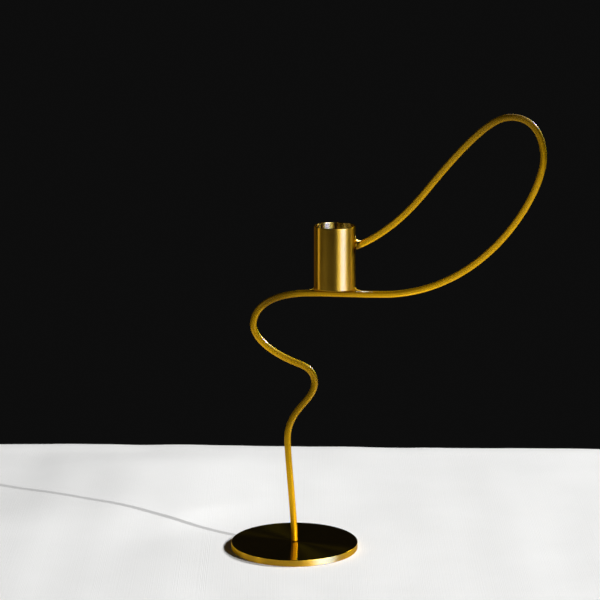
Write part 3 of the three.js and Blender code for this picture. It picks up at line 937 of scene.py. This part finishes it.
# The power that gathers it on top, how far its edge wanders, and how little it fills the corner.
CREST, UNEVEN, STAYS_OUT = 5, 0.12, 0.12
up_way = Vector((-end_way.z, 0, end_way.x))
thin_end = math.cos(math.radians(FILLET_HALF / 2)) ** CREST
fillet_rings = []
for step in range(FILLET_STEPS + 1):
    angle = math.radians(-FILLET_HALF + 2 * FILLET_HALF * step / FILLET_STEPS)
    spoke = up_way * math.cos(angle) + Vector((0, math.sin(angle), 0))
    rim = spoke * ROD_R
    wall_x = CUP_X + math.sqrt(CUP_R ** 2 - rim.y ** 2)
    corner = JOINT + rim + end_way * ((wall_x - JOINT.x - rim.x) / end_way.x)
    outward = Vector((corner.x - CUP_X, corner.y, 0)).normalized()
    up_wall = (spoke - outward * spoke.dot(outward)).normalized()
    top_share = max(math.cos(angle / 2) ** CREST - thin_end, 0) / (1 - thin_end)
    waver = 1 + UNEVEN * noise.noise(Vector((math.cos(angle) * 2, math.sin(angle) * 2, 1.3)))
    on_wall = corner + up_wall * (FILLET_EDGE + UP_THE_WALL * top_share) * waver
    from_axis = Vector((on_wall.x - CUP_X, on_wall.y, 0))
    on_wall = Vector((CUP_X, 0, on_wall.z)) + from_axis * (CUP_R / from_axis.length)
    on_rod = corner + end_way * (FILLET_EDGE + ALONG_THE_ROD * top_share) * waver
    bulge = corner + (on_wall + on_rod - corner * 2) * STAYS_OUT
    fillet_rings.append([
        *drawn(on_wall, bulge, on_rod, HOLLOW_STEPS),
        on_rod - spoke * 0.2, corner - spoke * 0.3 - outward * 0.3, on_wall - outward * 0.2,
    ])
side_braze = solid("side_braze_fillet", fillet_rings)
dress(side_braze, BRAZE, "braze_metal", "cup_side_braze")

# %% [markdown]
# ## The pad and the runs under the cup
# The pad fills the gap between the cup's foot and the rod, whose height there follows the
# shelf's own bend. It is a row of upright cuts along the rod: as wide as the cup's foot allows
# below the cup, and tapering off as a thin run beyond it on both sides.


# %% The pad and the runs under the cup
def shelf_height(x):
    """Height of the rod's centreline under the cup, on the bend between two level places."""
    (x0, z0), (x3, z3) = COURSE[5][0], COURSE[6][0]
    x1, x2 = x0 + COURSE[5][3], x3 - COURSE[6][2]
    low, high = 0.0, 1.0
    for _ in range(40):
        t = (low + high) / 2
        back = 1 - t
        at = x0 * back ** 3 + x1 * 3 * back ** 2 * t + x2 * 3 * back * t * t + x3 * t ** 3
        low, high = (t, high) if at < x else (low, t)
    return z0 + (z3 - z0) * (3 * low * low - 2 * low ** 3)


LEFT_RUN, RIGHT_RUN, PAD_CUTS, FLANK_STEPS = 2.6, 3.2, 120, 8
# Where the flank leaves the rod, how hollow it is, and how far its top reaches into the cup.
GRIP, HOLLOW, INTO_THE_FOOT = math.radians(34), 0.35, 0.04
PAD_WIDEST, PAD_NARROWEST, OF_THE_CHORD = 3.2, 0.9, 0.8
RUN_LOWEST, RUN_RISES, RUN_FALLS = 0.12, 0.8, 2.6
RUN_NARROWEST, RUN_WIDENS = 0.5, 0.9


def foot_section(x):
    """An upright cut across the pad: from the rod's flank out to its top edge, and back."""
    middle = shelf_height(x)
    from_left, from_right = x - (CUP_X - CUP_R), (CUP_X + CUP_R) - x
    inside = min(from_left, from_right)
    if inside >= 0:
        chord = math.sqrt(max(CUP_R ** 2 - (x - CUP_X) ** 2, 0))
        rise, half = 1.0, min(PAD_WIDEST, OF_THE_CHORD * chord + PAD_NARROWEST)
    else:
        reach = LEFT_RUN if from_left < 0 else RIGHT_RUN
        left_over = max(1 + inside / reach, 0)
        rise = RUN_LOWEST + RUN_RISES * left_over ** RUN_FALLS
        half = RUN_NARROWEST + RUN_WIDENS * left_over
    top = middle + ROD_R + rise * (CUP_LOW + INTO_THE_FOOT - middle - ROD_R)
    start = Vector((x, ROD_R * math.sin(GRIP), middle + ROD_R * math.cos(GRIP)))
    knee = Vector((x, HOLLOW * half + HOLLOW, middle + ROD_R + HOLLOW * rise))
    end = Vector((x, half, top))
    flank = [
        Vector((x, start.y - 0.25, start.z - 0.35)),
        *drawn(start, knee, end, FLANK_STEPS),
        Vector((x, half * 0.5, top + 0.02)),
    ]
    return flank + [Vector((point.x, -point.y, point.z)) for point in reversed(flank)]


left_end, right_end = CUP_X - CUP_R - LEFT_RUN, CUP_X + CUP_R + RIGHT_RUN
foot_rings = [
    foot_section(left_end + (right_end - left_end) * k / PAD_CUTS) for k in range(PAD_CUTS + 1)
]
foot_braze = solid("foot_braze_pad", foot_rings)
dress(foot_braze, BRAZE, "braze_metal", "cup_foot_braze")

# %% [markdown]
# ## The silver run along the rod
# Some of the brazing metal ran out to the right of the cup along the rod's top, where it lies
# as a thin tongue with a silvery skin. It is a flat lens of metal that follows the rod, leaning
# ever more to the front and narrowing to a point with a slightly uneven edge.


# %% The tongue of silver metal along the rod
def above_rod(x, degrees, out):
    """A point on or over the rod under the cup, so many degrees from its top."""
    angle = math.radians(degrees)
    way = Vector((0, -math.sin(angle), math.cos(angle)))
    return Vector((x, 0, shelf_height(x))) + way * out


SUNK_EDGE, SUNK_BACK = 0.01, 0.2


def skin_patch(name, strip, thickness, steps=12):
    """A thin lens of metal on the rod: each place is [x, degrees from the top, half width]."""
    shares = [-1 + 2 * k / steps for k in range(steps + 1)]
    rings = []
    for x, lean, half in strip:
        over = [
            above_rod(x, lean + half * share, ROD_R + thickness * (1 - share * share) - SUNK_EDGE)
            for share in shares
        ]
        under = [above_rod(x, lean + half * share, ROD_R - SUNK_BACK) for share in shares]
        rings.append(over + under[::-1])
    return solid(name, rings)


DULL_SKIN, SILVERY_SKIN = (0.24, 0.18, 0.06, 1), (0.96, 0.90, 0.72, 1)
silver_finish = Finish("silver_run")
x, y, z = silver_finish.place()
skin = silver_finish.clouds(silver_finish.vector(x, y, z), scale=1.1, detail=3.0)
SILVER_RUN = silver_finish.surface(
    Base_Color=silver_finish.mixed(skin.ramp(0.38, 0.58), DULL_SKIN, SILVERY_SKIN),
    Metallic=0.45,
    Roughness=0.34 + 0.16 * skin,
    Normal=silver_finish.relief(skin, 0.04),
)
TONGUE_START, TONGUE_LONG, TONGUE_THICK, TONGUE_PLACES = CUP_X + CUP_R - 0.6, 11.0, 0.16, 40
strip = []
for k in range(TONGUE_PLACES + 1):
    t = k / TONGUE_PLACES
    ripple = noise.noise(Vector((t * 9, 0.7, 2.2)))
    lean = 24 + 10 * t + 5 * ripple
    half = max(14 * (1 - t ** 3) * (1 + 0.35 * ripple), 0.8)
    strip.append((TONGUE_START + TONGUE_LONG * t, lean, half))
braze_tongue = skin_patch("foot_braze_tongue", strip, TONGUE_THICK)
dress(braze_tongue, SILVER_RUN, "braze_metal")
